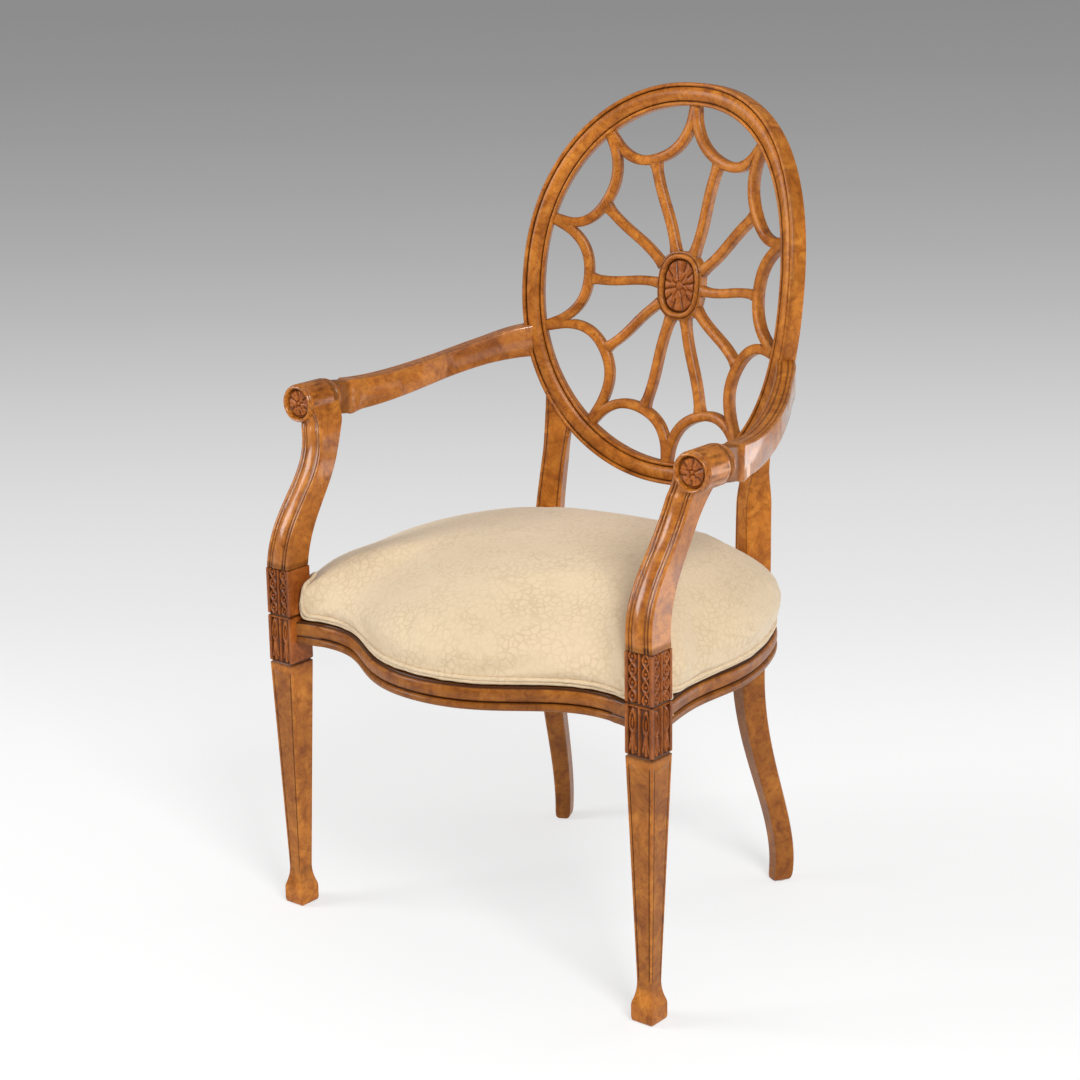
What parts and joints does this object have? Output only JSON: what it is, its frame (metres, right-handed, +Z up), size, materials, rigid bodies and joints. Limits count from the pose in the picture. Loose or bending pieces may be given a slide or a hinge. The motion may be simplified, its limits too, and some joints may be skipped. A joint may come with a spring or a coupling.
{
  "type": "oval back armchair",
  "caption": "Wooden dining armchair with a spider web oval back, scroll arms, carved square tapered legs with spade feet and a crowned upholstered seat.",
  "frame": {"origin": "on the floor, at the middle of the chair's overall box in plan", "axes": "+Z up, -Y the way a sitter faces, +X to the right as the chair is seen from in front; node names use left and right as seen from in front"},
  "size_m": [0.6266, 0.5674, 0.9913],
  "materials": {
    "burl_wood": "satin lacquer over figured veneer",
    "carved_wood": "satin, dark glaze in the carving",
    "frame_wood": "bare",
    "seat_fabric": "woven, fine vermicelli figure",
    "stuffing": "matte foam",
    "dust_cloth": "matte",
    "steel": "zinc plated"
  },
  "bodies": {
    "root": {"arm_dowels": "frame_wood", "arm_left": "burl_wood", "arm_right": "burl_wood", "arm_rosette_left": "carved_wood", "arm_rosette_right": "carved_wood", "arm_support_left": "burl_wood", "arm_support_right": "burl_wood", "boss_patera": "carved_wood", "brace_screws": "steel", "dust_cover": "dust_cloth", "foot_glides": "steel", "front_brace_left": "frame_wood", "front_brace_right": "frame_wood", "front_leg_left": "burl_wood", "front_leg_right": "burl_wood", "front_rail": "burl_wood", "oval_crest": "burl_wood", "oval_lower": "burl_wood", "oval_splines": "frame_wood", "oval_stile_left": "burl_wood", "oval_stile_right": "burl_wood", "post_dowels": "frame_wood", "rail_dowels": "frame_wood", "rear_brace_left": "frame_wood", "rear_brace_right": "frame_wood", "rear_leg_left": "burl_wood", "rear_leg_right": "burl_wood", "rear_rail": "burl_wood", "seat_board": "frame_wood", "seat_cover": "seat_fabric", "seat_pad": "stuffing", "seat_screws": "steel", "seat_welt": "seat_fabric", "side_rail_left": "burl_wood", "side_rail_right": "burl_wood", "web_boss": "burl_wood", "web_scallop_01": "burl_wood", "web_scallop_02": "burl_wood", "web_scallop_03": "burl_wood", "web_scallop_04": "burl_wood", "web_scallop_05": "burl_wood", "web_scallop_06": "burl_wood", "web_scallop_07": "burl_wood", "web_scallop_08": "burl_wood", "web_scallop_09": "burl_wood", "web_scallop_10": "burl_wood", "web_spoke_01": "burl_wood", "web_spoke_02": "burl_wood", "web_spoke_03": "burl_wood", "web_spoke_04": "burl_wood", "web_spoke_05": "burl_wood", "web_spoke_06": "burl_wood", "web_spoke_07": "burl_wood", "web_spoke_08": "burl_wood", "web_spoke_09": "burl_wood", "web_spoke_10": "burl_wood"}
  },
  "joints": []
}
